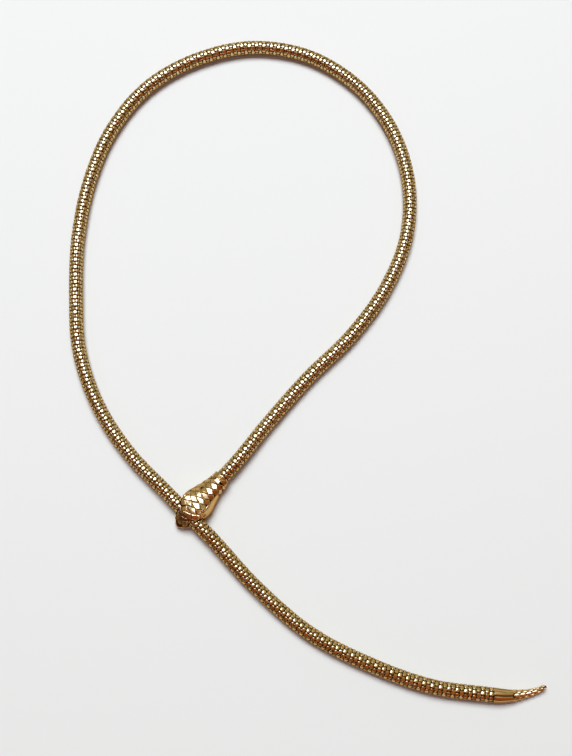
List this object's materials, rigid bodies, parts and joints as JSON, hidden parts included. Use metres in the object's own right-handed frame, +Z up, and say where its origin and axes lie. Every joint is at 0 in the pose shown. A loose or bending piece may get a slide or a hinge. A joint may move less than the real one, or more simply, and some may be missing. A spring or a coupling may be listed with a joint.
{
  "type": "snake chain choker",
  "caption": "Tubular mesh snake necklace lying in an open loop, its cast scaled head hinged to bite the chain, with a cast scaled tail on the free end.",
  "frame": {"origin": "centre of the lying necklace's footprint, on the surface it rests on", "axes": "+Z up off the surface, +Y away from the viewer along the loop's length, +X to the right"},
  "size_m": [0.1526, 0.2225, 0.0078],
  "materials": {
    "mesh_gold": "polished gold-tone links with dark gaps",
    "cast_gold": "polished gold-tone casting, darker in its grooves",
    "pin_gold": "polished"
  },
  "bodies": {
    "necklace": {"mesh_loop": "mesh_gold", "mesh_drop": "mesh_gold", "lower_jaw": "cast_gold", "tail": "cast_gold"},
    "upper_head": {"head": "cast_gold", "hinge_pin": "pin_gold"}
  },
  "joints": [
    {"name": "mouth_hinge", "type": "hinge", "parent": "necklace", "child": "upper_head", "pos_m": [-0.02609, -0.04379, 0.0052], "axis": [-0.7337, 0.6794, 0], "range_deg": [0, 30], "stiffness_Nm_per_rad": 0.002, "springref_deg": -28.65}
  ]
}
